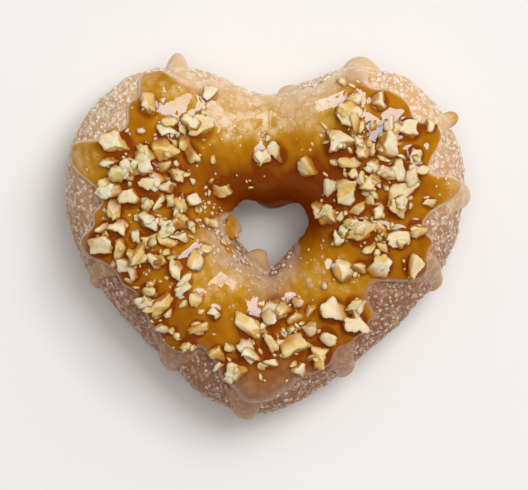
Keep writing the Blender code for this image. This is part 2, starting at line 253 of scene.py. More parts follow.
# Places that the nuts thrown last leave bare: (x, y, radius).
BARE_PATCHES = (
    (28.5, 32.5, 7.0), (-21.0, 33.5, 6.5), (-28.0, 36.5, 4.0), (-5.5, -17.5, 4.5),
    (6.0, 30.0, 9.0), (2.0, 13.0, 5.0), (-9.0, 26.0, 7.0),
)
# The range of their lengths, the throws for each, how near chips may lie, as a share
# of their mean length, and how many degrees of roll they keep from the glaze's edge.
SMALL_CHIP_LENGTHS = (3.6 * MM, 6.0 * MM)
CHIP_TRIES = 60
CHIP_SPACING = 0.74
CHIP_EDGE_MARGIN = 7.0
CHIP_SEED = 14
# The pieces thrown after them: the ranges of their lengths in millimetres and of
# their widths over their lengths, and how far they scatter from a chip. They keep
# clear of the glaze's edge by some degrees of roll, and more for each metre of length.
EXTRA_CHIPS = (3.2, 5.6), (0.4, 0.85), 3.8
BITS = (1.4, 2.9), (0.4, 0.9), 3.6
CRUMBS = (0.6, 1.3), (0.5, 0.9), 4.0
BIT_EDGE_MARGIN, BIT_MARGIN_GROWTH = 5.0, 600.0
# How a chip lies: its height over its width and the range by which that varies, how
# far it sinks in, at most what share of its height, and how much of its uneven
# underside is lost in that.
CHIP_HEIGHT_SHARE, CHIP_HEIGHT_RANGE = 0.52, (0.9, 1.3)
CHIP_SINK, CHIP_SINK_SHARE = 0.6 * MM, 0.3
CHIP_FLAT = 0.2
# How chips pile up: at what share of a chip's height the next one rests, at what
# distance, as a share of their mean length, it does so by half, and the highest pile
# and point.
PILE_SHARE, PILE_REACH = 0.62, 0.55
PILE_HEIGHT = 2.0 * MM
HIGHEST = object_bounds()[1][2] + 0.8 * MM
# A chip's form, with distances from its middle before it is scaled: how many random
# cuts it has, how little they lean and how near they come, the lids above and below,
# the middles of its bites, one over the radius of the ball that rounds it, how sharp
# its edges are, how much larger than its row it is made, and its crumbly ripples.
KERNEL_CUTS = 7
CUT_LEAN = 0.22
CUT_REACH = (0.6, 1.0)
LID_REACH = 0.45
BITE_REACH = (1.2, 1.75)
BALL_NEARNESS = 0.78
KERNEL_SHARPNESS = 26.0
KERNEL_SWELL = 1.16
KERNEL_CRUMBLE = 0.1
# Up to what share of its height a chip is soaked and painted shaded, in the glaze
# and off it, how much higher on its side cuts, where it is painted shade of the steep
# sides, and on one side, and over what share that fades out.
SOAK_AND_SHADE_SHARE, SOAK_AND_SHADE_SHARE_OFF_GLAZE = 0.76, 1.05
SHADE_MORE_ON_CUTS, SOAK_AND_SHADE_MORE_ASIDE = 0.26, 0.14
SOAK_AND_SHADE_FADE = 0.4

# Sugar grains: a grain's height over its width once it is pressed on, how much deeper
# it lies in the glaze than on the crust, how far under the glaze's edge the crust
# still has some, in degrees of roll, and the ranges of their lengths in millimetres.
GRAIN_FLATNESS = 0.72
GRAIN_SUNK = 0.24 * MM
GRAIN_OVERLAP = 3.0
COARSE_LENGTHS, FINE_LENGTHS, ON_GLAZE_LENGTHS = (0.6, 1.4), (0.25, 0.6), (0.4, 1.4)
GRAIN_SEED = 31

# The studio: the tints of the room, the windows and the other lights, half the
# table top's side, and the width and middle of what the camera sees.
ROOM_TINT = (1.0, 0.99, 0.975)
WINDOW_TINT = (0.76, 0.9, 1.0)
LAMP_TINT = (1.0, 0.988, 0.972)
FLOOR_HALF = 1.6
FRAME_WIDTH = 132 * MM
FRAME_MIDDLE = HOLE_MIDDLE + np.array([-1.0, -3.25]) * MM

# Steps round the ring and across, for the fine surfaces.
DOUGH_STEPS = (420, 216)
GLAZE_STEPS = 1080
GLAZE_TOP_STEPS = 66
GLAZE_BACK_STEPS = 12
# How much the glaze's columns crowd at its edges, and how many steps round the ring
# the nearest point of an edge is looked for.
EDGE_CROWDING = 0.35
EDGE_SEARCH = 44


# Values a user would change.


def tint(title, use, *colour):
    """A colour that can be changed."""
    return FloatVectorProperty(name=title, description="Colour of " + use, subtype="COLOR",
                               default=colour, min=0, max=1)


def length(title, use, default, low, high):
    """A length that can be changed, from a lowest to a highest."""
    return FloatProperty(name=title, description=use, subtype="DISTANCE", unit="LENGTH",
                         default=default, min=low, max=high)


def watts(title, use, default):
    """A light's power, which can be changed."""
    return FloatProperty(name=title, description=use, unit="POWER", default=default, min=0)


def amount(title, use, default, high):
    """A number of things that can be changed, up to a highest."""
    return IntProperty(name=title, description="Number of " + use, default=default, min=0,
                       max=high)


class CrustSettings(bpy.types.PropertyGroup):
    colour: tint("Crust", "the fried dough near the notch", 0.80, 0.445, 0.175)
    frost: tint("Frosting", "the fine sugar near the notch", 0.94, 0.74, 0.56)
    # The darker crust and frosting at the tip are painted shade.
    tip_colour: tint("Crust at the tip", "the fried dough near the tip", 0.37, 0.15, 0.066)
    tip_frost: tint("Frosting at the tip", "the fine sugar near the tip", 0.66, 0.43, 0.315)
    waist: tint("Waist", "the paler line round the waist", 0.62, 0.39, 0.21)
    soaked: tint("Soaked crust", "the crust under the glaze at the tip", 0.20, 0.075, 0.022)
    underside: tint("Underside", "the browner underside", 0.30, 0.13, 0.055)
    roughness_height: length("Unevenness", "Height of the crust's small lumps", 0.16 * MM, 0, 1 * MM)


class GlazeSettings(bpy.types.PropertyGroup):
    depth: length("Depth", "Usual depth of the glaze over the dough", 1.6 * MM, 0.5 * MM, 3 * MM)
    edge_width: length("Edge width", "Width over which the edge rounds down",
                       1.7 * MM, 0.3 * MM, 4 * MM)
    thin: tint("Thin", "the thinnest layer", 0.70, 0.46, 0.22)
    golden: tint("Golden", "a shallow layer", 0.57, 0.285, 0.014)
    amber: tint("Amber", "the usual layer", 0.44, 0.165, 0.002)
    brown: tint("Brown", "the deepest caramel", 0.25, 0.046, 0.001)
    film: tint("Film", "the milky drips near the notch", 0.78, 0.58, 0.39)
    # The darker film at the tip is painted shade.
    tip_film: tint("Film at the tip", "the milky drips near the tip", 0.35, 0.20, 0.125)
    sunk_sugar: tint("Sunk sugar", "the sugar seen through thin glaze", 0.80, 0.60, 0.38)


class NutSettings(bpy.types.PropertyGroup):
    kernel: tint("Kernel", "a clean broken kernel", 0.87, 0.795, 0.62)
    toasted: tint("Toasted", "the toasted parts", 0.78, 0.53, 0.17)
    # This colour paints caramel soak and painted shade on each chip's lower and steep sides.
    soaked: tint("Soaked", "the parts soaked in caramel", 0.52, 0.215, 0.018)
    skin: tint("Skin", "the papery brown skin", 0.40, 0.17, 0.03)
    extra: amount("Extra chips", "chips thrown over the first ones", 86, 100)
    bits: amount("Bits", "small bits between the chips", 170, 400)
    crumbs: amount("Crumbs", "crumbs", 130, 600)


class SugarSettings(bpy.types.PropertyGroup):
    colour: tint("Sugar", "the sugar grains", 0.98, 0.86, 0.75)
    dull: tint("Dull sugar", "the grains that have drawn moisture", 0.84, 0.60, 0.39)
    # The darker sugar at the tip is painted shade.
    tip_colour: tint("Sugar at the tip", "the grains near the tip", 0.72, 0.52, 0.42)
    tip_dull: tint("Dull sugar at the tip", "the dull grains near the tip", 0.44, 0.26, 0.19)
    coarse: amount("Coarse grains", "coarse grains on the crust", 3300, 9000)
    fine: amount("Fine grains", "fine grains on the crust", 9000, 24000)
    on_glaze: amount("Grains on the glaze", "grains stuck to the glaze", 560, 2000)


class StudioSettings(bpy.types.PropertyGroup):
    floor: tint("Floor", "the table top", 0.865, 0.858, 0.848)
    window_power: watts("Windows", "Power of each window that shows in the gloss", 25)
    key_power: watts("Key light", "Power of the broad light on the upper right", 31)
    low_power: watts("Low key light", "Power of the light that makes the long shadow", 2)
    overhead_power: watts("Overhead light", "Power of the light straight above", 6)
    room_light: FloatProperty(name="Room", description="Brightness of the room all round",
                              default=0.32, min=0, max=4)
    camera_height: length("Camera height", "Height of the camera over the table", 1.1, 0.3, 5)


# The doughnut's form.


def angle_from(heading, middle):
    """How far a heading lies from another, from -180 to 180 degrees."""
    return (heading - middle + 180.0) % 360.0 - 180.0


def bell(away, width):
    """A bell curve of height 1: the exponential of minus the squared distance."""
    return np.exp(-((away / width) ** 2))


def quarter_circle(away, width):
    """A rounded edge: a quarter circle that rises from 0 to 1 over a width."""
    return np.sqrt(1 - (1 - np.minimum(away / width, 1.0)) ** 2)


def share_past(value, start, span):
    """A share that goes from 0 at a start to 1 a span further on, or further back."""
    return np.clip((value - start) / span, 0.0, 1.0)


def unit_vectors(vectors):
    """Vectors turned into ones of length 1."""
    return vectors / np.linalg.norm(vectors, axis=-1, keepdims=True)


def signed_power(value, exponent):
    """The power of a number's size, with the number's own sign."""
    return np.sign(value) * np.abs(value) ** exponent


def swelling(heading, middle, spread):
    """A smooth hump of height 1 at one heading: a bell curve of the angle away."""
    return np.exp(-0.5 * (angle_from(heading, middle) / spread) ** 2)


def swollen(heading, base, swells):
    """A base size plus its named swellings."""
    return base + sum(rise * swelling(heading, middle, spread)
                      for middle, rise, spread in swells.values())


def wander(heading, bays):
    """How far something goes out at a heading: a sum of flat-topped bumps, each the
    exponential of minus the third power of the angle away over its half width."""
    return sum(reach * np.exp(-np.abs(angle_from(heading, middle) / half) ** 3.0)
               for middle, reach, half in bays)


def ring_radii(heading):
    """The radius of the middle of the ring at a heading, and half the ring's width."""
    rim = swollen(heading, RIM_RADIUS, RIM_SWELLS)
    hole = swollen(heading, HOLE_RADIUS, HOLE_SWELLS)
    return (rim + hole) / 2, (rim - hole) / 2


def dough_point(heading, roll):
    """The point of the dough at a heading and a roll. The radius is the middle of
    the ring plus half its width times a signed power of the roll's cosine, and the
    height is the waist plus the rise to the crest times a signed power of the sine,
    with gentle lumps on top and a flattened underside."""
    turn, round_section = np.radians(heading), np.radians(roll)
    middle, half_width = ring_radii(heading)
    crest = swollen(heading, CREST_HEIGHT, CREST_SWELLS)
    outward = signed_power(np.cos(round_section), 2 / SQUARENESS)
    upward = signed_power(np.sin(round_section), 2 / SQUARENESS)
    radius = middle + half_width * outward
    waist = crest * WAIST_SHARE
    lumps = LUMP_HEIGHT * (
        np.sin(5 * turn + 2 * round_section) + np.sin(9 * turn - 3 * round_section + 1)
    )
    above = waist + (crest - waist + lumps) * upward
    below = waist * (1 + UNDERSIDE_SINK * upward)
    height = np.where(upward > 0, above, np.maximum(below, 0.0))
    x = HOLE_MIDDLE[0] + radius * np.cos(turn)
    y = HOLE_MIDDLE[1] + radius * np.sin(turn)
    return np.stack([x, y, height], axis=-1)


def dough_slope(heading, roll):
    """A vector that points outwards from the dough and is as long as the area of one
    degree both ways: the cross product of the steps across them."""
    along = dough_point(heading + 0.5, roll) - dough_point(heading - 0.5, roll)
    across = dough_point(heading, roll + 0.5) - dough_point(heading, roll - 0.5)
    return np.cross(along, across)


def dough_normal(heading, roll):
    """The outward unit normal of the dough."""
    return unit_vectors(dough_slope(heading, roll))


def plan(points, scale=1.0):
    """The x and y of points about the middle of the hole, in a scale of length."""
    return [(points[..., axis] - HOLE_MIDDLE[axis]) / scale for axis in (0, 1)]


def ripple(points, size, seed, waves=26):
    """Smooth noise, mostly between -1 and 1: a sum of plane sine waves about one
    size long that run in random directions."""
    draw = np.random.default_rng(seed)
    ways = draw.normal(size=(waves, 3))
    ways *= (2 * np.pi / size * draw.uniform(0.7, 1.4, waves)
             / np.linalg.norm(ways, axis=1))[:, None]
    return np.sin(points @ ways.T + draw.uniform(0, 6.28, waves)).sum(-1) / np.sqrt(waves)


def crust_height(points, height):
    """The crust's unevenness: ripples of three sizes, the larger the higher."""
    return height * (ripple(points, 9 * MM, 1) * 1.3 + ripple(points, 3.2 * MM, 2) * 0.7
                     + ripple(points, 1.3 * MM, 3) * 0.35)


def glaze_edges(heading):
    """The roll of the glaze's outer and inner edges: their bays and small waves."""
    turn = np.radians(heading)
    outer = OUTER_EDGE_ROLL - wander(heading, OUTER_BAYS)
    outer = outer + 1.6 * np.sin(23 * turn) + np.sin(41 * turn)
    inner = INNER_EDGE_ROLL + wander(heading, INNER_BAYS)
    return outer, inner + 1.8 * np.sin(19 * turn) + np.sin(31 * turn)


def drip_surface(heading, end, half_width, bead, bend, flank):
    """One drip as rows along its run and columns round its section, and for each
    point, from 0 to 1, how near the bead and how near its outline it is. It starts
    tucked under the glaze's edge and runs at one heading, bent a little. The half
    width is wide at the root and ends in half an oval, the height swells to the bead,
    and the section's upper half is a power of the sine, an oval below power 1 and a
    mound above it. Its proportions are shares of the half width."""
    rows, columns = DRIP_STEPS
    outer, inner = glaze_edges(heading)
    root = inner - DRIP_TUCK if end > 90.0 else outer + DRIP_TUCK
    share = np.linspace(0, 1, rows)
    roll = root + (end - root) * share
    spine = heading + bend * share**2
    run = dough_point(spine, roll)
    along = np.concatenate([[0.0], np.linalg.norm(np.diff(run, axis=0), axis=1).cumsum()])
    left = along[-1] - along
    ends = quarter_circle(left, 1.5 * half_width) * quarter_circle(along, DRIP_START)
    swelling_out = bell(left - 1.2 * half_width, 1.3 * half_width)
    width = half_width * (0.9 + 0.9 * bell(along, DRIP_ROOT) + 0.1 * swelling_out)
    height = DRIP_FILM + (bead - DRIP_FILM) * swelling_out
    angle = np.arange(columns) * 2 * np.pi / columns
    aside = np.degrees((width * ends / np.hypot(*plan(run)))[:, None] * np.cos(angle))
    up = np.sin(angle)
    rise = np.where(up > 0, (height * ends)[:, None] * np.abs(up) ** flank, GLAZE_SUNK * up)
    turn = spine[:, None] + aside
    level = roll[:, None] + np.zeros(columns)
    points = dough_point(turn, level) + dough_normal(turn, level) * rise[..., None]
    above = np.maximum(left - 1.6 * half_width, 0.0)
    near = bell(above, 1.3 * half_width)[:, None] + 0.0 * up
    lip = np.clip(3.4 - 2.0 * left / half_width, 0.0, 1.0)[:, None]
    return points, near, np.maximum(1 - np.maximum(up, 0.0) ** 0.7, lip)


def poured_depth(points, depth):
    """The depth of the glaze away from its edges: gentle ripples and, at each
    bubble, half a ball pressed flat, with its middle fallen in where it burst."""
    ripples = 0.10 * ripple(points, 9 * MM, 11) + 0.04 * ripple(points, 4.5 * MM, 12)
    deep = depth * (1 + ripples)
    x, y = plan(points)
    for bubble_x, bubble_y, radius, height, hollow in BUBBLES:
        away = np.hypot(x - bubble_x * MM, y - bubble_y * MM) / (radius * MM)
        dome = np.sqrt(np.maximum(1 - away**2, 0.0))
        deep = deep + height * MM * (dome - 1.3 * hollow * bell(away, 0.45))
    return deep


def patch(x, y, spot):
    """A bell-shaped patch of height 1 in plan, longer one way and turned."""
    middle_x, middle_y, half_long, half_wide, turn = spot
    c, s = np.cos(np.radians(turn)), np.sin(np.radians(turn))
    away_x, away_y = x - middle_x, y - middle_y
    along = (away_x * c + away_y * s) / half_long
    across = (away_y * c - away_x * s) / half_wide
    return np.exp(-0.5 * (along**2 + across**2))


def loop_faces(rows, columns, open_rows=False):
    """Quads of a grid of points that closes on itself both ways, or, with open
    rows, only round its columns."""
    row, column = np.meshgrid(np.arange(rows - open_rows), np.arange(columns), indexing="ij")
    next_row, next_column = (row + 1) % rows, (column + 1) % columns
    corners = [(row, column), (next_row, column), (next_row, next_column), (row, next_column)]
    return np.stack([a * columns + b for a, b in corners], axis=-1).reshape(-1, 4)


def new_piece(name, shape, material, node):
    """A smooth mesh object that rides on the doughnut and stands for a CAD node. Its
    shape is its points, its faces, and the fields, a value for each point, which its
    material reads."""
    points, faces, fields = shape
    mesh = bpy.data.meshes.new(name)
    mesh.vertices.add(len(points))
    mesh.vertices.foreach_set("co", points.astype(np.float32).ravel())
    mesh.loops.add(faces.size)
    mesh.loops.foreach_set("vertex_index", faces.astype(np.int32).ravel())
    mesh.polygons.add(len(faces))
    starts = np.arange(0, faces.size, faces.shape[1], dtype=np.int32)
    mesh.polygons.foreach_set("loop_start", starts)
    mesh.update(calc_edges=True)
    for field_name, values in fields.items():
        layer = mesh.attributes.new(field_name, "FLOAT", "POINT")
        layer.data.foreach_set("value", values.astype(np.float32).ravel())
    mesh.materials.append(material)
    mesh.shade_smooth()
    piece = bpy.data.objects.new(name, mesh)
    bpy.context.scene.collection.objects.link(piece)
    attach(piece, "root")
    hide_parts(node)
    return piece


def close_poles(piece):
    """Merges the points that lie on one another and turns every face outwards."""
    mesh = bmesh.new()
    mesh.from_mesh(piece.data)
    bmesh.ops.remove_doubles(mesh, verts=mesh.verts, dist=0.002 * MM)
    bmesh.ops.recalc_face_normals(mesh, faces=mesh.faces)
    mesh.to_mesh(piece.data)
    mesh.free()


def ball(subdivisions):
    """The corners and triangles of a unit ball of near-equal triangles."""
    mesh = bmesh.new()
    bmesh.ops.create_icosphere(mesh, subdivisions=subdivisions, radius=1.0)
    corners = np.array([corner.co[:] for corner in mesh.verts])
    faces = np.array([[corner.index for corner in face.verts] for face in mesh.faces])
    mesh.free()
    return unit_vectors(corners), faces


def gathered(shapes):
    """Many (points, faces, fields) shapes as one."""
    points, faces, fields = zip(*shapes)
    starts = np.cumsum([0] + [len(part) for part in points[:-1]])
    return (np.concatenate(points),
            np.concatenate([part + start for part, start in zip(faces, starts)]),
            {name: np.concatenate([part[name] for part in fields], axis=None)
             for name in fields[0]})


# The nuts.


def turned(yaw, tilt, lean):
    """A rotation: turn by yaw, then lean over by a tilt about the lean direction."""
    c, s = np.cos(yaw), np.sin(yaw)
    spin = np.array([[c, -s, 0], [s, c, 0], [0, 0, 1]])
    cross = np.cross(np.eye(3), [np.cos(lean), np.sin(lean), 0.0])
    tip = np.eye(3) + np.sin(tilt) * cross + (1 - np.cos(tilt)) * cross @ cross
    return tip @ spin


def roll_at(x, y):
    """The heading and roll of the upper surface under a plan position."""
    heading = np.degrees(np.arctan2(y, x)) % 360.0
    middle, half_width = ring_radii(heading)
    outward = np.clip((np.hypot(x, y) - middle) / half_width, -1.0, 1.0)
    return heading, np.degrees(np.arccos(signed_power(outward, SQUARENESS / 2)))


def on_glaze(x, y, margin=CHIP_EDGE_MARGIN):
    """Whether a plan position lies on the glaze, clear of its edges."""
    heading, roll = roll_at(x, y)
    outer, inner = glaze_edges(heading)
    return outer + margin < roll < min(inner, INNER_EDGE_ROLL) - margin


def strewn_chips(draw):
    """Every chip as (x, y, length, width, turn): the big ones, then small ones
    thrown at each heap and kept where they clear the chips already down."""
    chips = [(x * MM, y * MM, long * MM, wide * MM, np.radians(turn))
             for x, y, long, wide, turn in BIG_CHIPS]
    for x, y, half_long, half_wide, count in CHIP_HEAPS:
        kept = 0
        for _ in range(CHIP_TRIES * count):
            long = draw.uniform(*SMALL_CHIP_LENGTHS)
            wide = long * draw.uniform(0.6, 0.9)
            place = (draw.normal(0, 0.5, 2) * (half_long, half_wide) + (x, y)) * MM
            turn = draw.uniform(0, 2 * np.pi)
            if kept == count or not on_glaze(*place):
                continue
            gaps = [np.hypot(*(place - chip[:2])) / (long + chip[2]) * 2 for chip in chips]
            if min(gaps) > CHIP_SPACING:
                chips.append((*place, long, wide, turn))
                kept += 1
    return chips


def strewn_bits(draw, chips, count, lengths, widths, spread):
    """Smaller pieces thrown round the chips, as (x, y, length, width, turn), each
    with its length in millimetres and its share of width drawn from a range. They
    may lie against or on top of the chips."""
    bits = []
    while len(bits) < count:
        chip = chips[draw.integers(len(chips))]
        place = np.array(chip[:2]) + draw.normal(0, spread * MM, 2)
        size = draw.uniform(*lengths) * MM
        clear = all(np.hypot(*(place / MM - spot[:2])) > spot[2] for spot in BARE_PATCHES)
        if clear and on_glaze(*place, BIT_EDGE_MARGIN + BIT_MARGIN_GROWTH * size):
            bits.append((*place, size, size * draw.uniform(*widths), draw.uniform(0, 6.28)))
    return bits


def all_kernels(settings):
    """The chips, the extra chips thrown over them, the bits and the crumbs, and the
    random draw that goes on from there."""
    draw = np.random.default_rng(CHIP_SEED)
    chips = strewn_chips(draw)
    extra = strewn_bits(draw, chips, settings.extra, *EXTRA_CHIPS)
    bits = strewn_bits(draw, chips, settings.bits, *BITS)
    crumbs = strewn_bits(draw, chips, settings.crumbs, *CRUMBS)
    return chips, extra, bits, crumbs, draw


def kernel_shape(directions, draw, bites):
    """A broken piece of kernel about 2 across, and how far each point lies in a bite
    and on a side cut. Along each direction the nearness is the power mean, which
    softens the edges, of those of a ball, of random planes that cut it mostly from
    the sides, of a lid above and below, and of round bites, two of them from the
    side. A bite's ball has its horizon at radius 1, so its nearness is
    a + sqrt(a * a - 1), where a is its middle's distance along the direction. Two
    ripples make the broken faces crumbly."""
    normals = draw.normal(size=(KERNEL_CUTS, 3)) * (1.0, 1.0, CUT_LEAN)
    lids = draw.normal(size=(2, 3)) * (0.25, 0.25, 0.0) + [(0, 0, 1), (0, 0, -1)]
    normals = unit_vectors(np.concatenate([normals, -normals.sum(axis=0, keepdims=True), lids]))
    reach = np.append(draw.uniform(*CUT_REACH, len(normals) - 2), [LID_REACH, LID_REACH])
    planes = np.maximum(directions @ normals.T, 0.0) / reach
    ways = draw.normal(size=(bites, 3)) + (0.0, 0.0, 0.6)
    ways[:2, 2] *= 0.3
    along = np.maximum(directions @ unit_vectors(ways).T, 0.0) * draw.uniform(*BITE_REACH, bites)
    bitten = along + np.sqrt(np.maximum(along**2 - 1, 0.0))
    whole = np.full((len(directions), 1), BALL_NEARNESS)
    powers = np.concatenate([planes, bitten, whole], axis=1) ** KERNEL_SHARPNESS
    total = powers.sum(axis=1)
    cut = powers[:, :KERNEL_CUTS + 1].sum(axis=1) / total
    seed = draw.integers(1 << 30)
    crumble = ripple(directions, 0.9, seed) + 0.4 * ripple(directions, 0.4, seed + 1)
    radius = total ** (-1 / KERNEL_SHARPNESS) * (1 + KERNEL_CRUMBLE * crumble)
    shape = directions * radius[:, None]
    flat = np.maximum(planes.max(axis=1), BALL_NEARNESS)
    # How far a point lies in a bite, which the material paints tan as painted shade.
    hollow = np.clip((bitten.max(axis=1) / flat - 0.95) * 6, 0.0, 1.0)
    return shape / np.abs(shape).max(axis=0), hollow, cut


def laid_kernels(rows, draw, ball_shape, depth, taken, tilt, skinned):
    """Pieces of kernel set in the glaze: for each (x, y, length, width, turn) a
    broken shape, leaned a little, on the surface's own slope or on the pieces
    already taken. Returns the points, the faces and the fields tone (one value a
    piece), hollow (1 in its bites, painted as shade), the soak and shade field (from 1
    at the foot to 0 over half way up, higher on the side cuts and on a piece that lies
    off the glaze: caramel soak and painted shade of the lower and steep sides) and
    skin (1 on the skinned side, which the given share of the pieces has)."""
    directions, faces = ball_shape
    shapes = []
    for x, y, long, wide, turn in rows:
        shape, hollow, cut = kernel_shape(directions, draw, draw.integers(1, 4))
        height = wide * CHIP_HEIGHT_SHARE * draw.uniform(*CHIP_HEIGHT_RANGE)
        size = np.array([long, wide, height]) / 2 * KERNEL_SWELL
        lean = turned(turn, np.radians(draw.uniform(0, tilt)), draw.uniform(0, 6.28))
        points = (shape * size) @ lean.T
        heading, roll = roll_at(x, y)
        foot = dough_point(np.array(heading), np.array(roll))
        up = dough_normal(np.array(heading), np.array(roll))
        east = unit_vectors(np.cross([0.0, 1.0, 0.0], up))
        outer, inner = glaze_edges(heading)
        glazed = outer < roll < inner
        bed = poured_depth(foot, depth) if glazed else 0.0
        bed -= min(CHIP_SINK, CHIP_SINK_SHARE * height)
        floor = bed
        for other_x, other_y, other_long, top in taken:
            near = np.hypot(x - other_x, y - other_y) / (other_long + long) * 2
            floor = max(floor, top * min(1.0, 1.5 - near / PILE_REACH))
        floor = min(floor, bed + PILE_HEIGHT)
        taken.append((x, y, long, floor + PILE_SHARE * height))
        points[:, 2] += floor - points[:, 2].min() * (1 - CHIP_FLAT)
        share = (points[:, 2] - points[:, 2].min()) / np.ptp(points[:, 2])
        aside = directions @ unit_vectors(draw.normal(size=3))
        points = points @ np.stack([east, np.cross(up, east), up]) + foot
        points -= up * max(0.0, points[:, 2].max() - HIGHEST)
        # How high the caramel soak and the painted shade of the sides reach.
        soak_and_shade_top = (SOAK_AND_SHADE_SHARE if glazed else SOAK_AND_SHADE_SHARE_OFF_GLAZE) + SHADE_MORE_ON_CUTS * cut
        shapes.append((points, faces, {
            "tone": np.full(len(points), draw.random()),
            "hollow": hollow,
            "soak_and_shade": share_past(soak_and_shade_top + SOAK_AND_SHADE_MORE_ASIDE * aside, share, SOAK_AND_SHADE_FADE),
            "skin": (draw.random() < skinned) * share_past(aside, 0.4, 0.25)}))
    return gathered(shapes)


# Materials.


def new_material(name):
    """An empty node material, its nodes and its Principled shader."""
    material = bpy.data.materials.new(name)
    material.use_nodes = True
    return material, material.node_tree, material.node_tree.nodes["Principled BSDF"]


def fill(tree, node, values):
    """Sets a node's sockets, by their names or numbers, or links them."""
    for socket, value in values.items():
        if isinstance(value, bpy.types.NodeSocket):
            tree.links.new(value, node.inputs[socket])
        else:
            node.inputs[socket].default_value = value


def soft(weight, radius, scale):
    """A Principled shader's values for light that passes under the surface."""
    return {"Subsurface Weight": weight, "Subsurface Radius": radius, "Subsurface Scale": scale}


def add_node(tree, kind, values=None, **settings):
    """A node with its settings and its sockets' values."""
    node = tree.nodes.new(kind)
    for setting, value in settings.items():
        setattr(node, setting, value)
    fill(tree, node, values or {})
    return node


def maths(tree, operation, *values, clamp=False):
    """The output of a Math node on values or sockets."""
    return add_node(tree, "ShaderNodeMath", dict(enumerate(values)),
                    operation=operation, use_clamp=clamp).outputs[0]


def vector_maths(tree, operation, values, output="Vector"):
    """The output of a Vector Math node on values or sockets."""
    return add_node(tree, "ShaderNodeVectorMath", values, operation=operation).outputs[output]


def mapped(tree, value, start, end, top=1.0):
    """A share that goes from 0 at a start to a top value at an end."""
    return add_node(tree, "ShaderNodeMapRange", {
        "Value": value, "From Min": start, "From Max": end, "To Max": top}).outputs[0]


def mixed(tree, factor, *colours):
    """A colour between two, as sockets or (r, g, b). Of a Mix node's sockets, those
    of a colour are numbers 0, 6 and 7, and its output is number 2."""
    first, second = [colour if isinstance(colour, bpy.types.NodeSocket) else (*colour, 1.0)
                     for colour in colours]
    return add_node(tree, "ShaderNodeMix", {0: factor, 6: first, 7: second},
                    data_type="RGBA").outputs[2]


def layered(tree, colour, *layers):
    """A colour with others laid over it in turn, each as (share, colour)."""
    for share, over in layers:
        colour = mixed(tree, share, colour, over)
    return colour


def scaled(tree, value, factor):
    """A value times a factor, which may be a socket too."""
    return maths(tree, "MULTIPLY", value, factor)


def field(tree, name):
    """The value of one of the piece's own fields."""
    return add_node(tree, "ShaderNodeAttribute", attribute_name=name).outputs["Fac"]


def own_place(tree):
    """A point's place on the piece."""
    return add_node(tree, "ShaderNodeTexCoord").outputs["Object"]


def own_axis(tree, axis):
    """A point's X, Y or Z on the piece."""
    return add_node(tree, "ShaderNodeSeparateXYZ", {0: own_place(tree)}).outputs[axis]


def bump(tree, height, distance, strength):
    """The normal that a height makes."""
    values = {"Height": height, "Distance": distance, "Strength": strength}
    return add_node(tree, "ShaderNodeBump", values).outputs["Normal"]


def effect_group(name, **usual):
    """A node group with inputs of these usual values and the output Mask. Returns
    its nodes, its inputs' sockets and its last node."""
    tree = bpy.data.node_groups.new(name, "ShaderNodeTree")
    for title, value in usual.items():
        socket = tree.interface.new_socket(title, in_out="INPUT", socket_type="NodeSocketFloat")
        socket.default_value = value
    tree.interface.new_socket("Mask", in_out="OUTPUT", socket_type="NodeSocketFloat")
    return tree, tree.nodes.new("NodeGroupInput").outputs, tree.nodes.new("NodeGroupOutput")


def mottle_group():
    """Soft cloudy blotches from noise: sizes a blotch and how hard its edge is."""
    tree, given, result = effect_group("Mottle", Size=0.003, Contrast=2.0, Shift=0.5)
    noise = add_node(tree, "ShaderNodeTexNoise", {
        "Vector": own_place(tree), "Scale": maths(tree, "DIVIDE", 1.0, given["Size"]),
        "Detail": 3.0, "Roughness": 0.55})
    away = maths(tree, "SUBTRACT", noise.outputs[0], given["Shift"])
    hard = scaled(tree, away, given["Contrast"])
    fill(tree, result, {"Mask": maths(tree, "ADD", hard, 0.5, clamp=True)})
    return tree


def speckle_group():
    """Uneven specks from Voronoi cells that noise has warped: the nearer a cell's
    middle, the whiter. Reach is the speck's radius as a share of the cell."""
    tree, given, result = effect_group("Speckle", Size=0.001, Reach=0.35, Softness=0.15)
    place = own_place(tree)
    scale = maths(tree, "DIVIDE", 1.0, given["Size"])
    noise = add_node(tree, "ShaderNodeTexNoise", {
        "Vector": place, "Scale": scaled(tree, scale, 1.6)})
    sway = vector_maths(tree, "SUBTRACT", {0: noise.outputs[1], 1: (0.5, 0.5, 0.5)})
    sway = vector_maths(tree, "SCALE", {0: sway, "Scale": given["Size"]})
    warped = vector_maths(tree, "ADD", {0: place, 1: sway})
    cells = add_node(tree, "ShaderNodeTexVoronoi", {"Vector": warped, "Scale": scale}).outputs
    chance = add_node(tree, "ShaderNodeSeparateColor", {"Color": cells["Color"]}).outputs[0]
    reach = scaled(tree, given["Reach"], chance)
    inside = maths(tree, "SUBTRACT", reach, cells["Distance"])
    soft_edge = maths(tree, "DIVIDE", inside, given["Softness"])
    fill(tree, result, {"Mask": maths(tree, "ADD", soft_edge, 0.5, clamp=True)})
    return tree


EFFECTS = {"Mottle": mottle_group, "Speckle": speckle_group}


def effect(tree, name, **values):
    """The mask of an effect's node group, which is made when it is first used."""
    group = bpy.data.node_groups.get(name) or EFFECTS[name]()
    return add_node(tree, "ShaderNodeGroup", values, node_tree=group).outputs["Mask"]


def towards_tip(tree):
    """A share from 0 in the lobes to 1 below the hole."""
    return mapped(tree, own_axis(tree, "Y"), *TIP_SPAN)


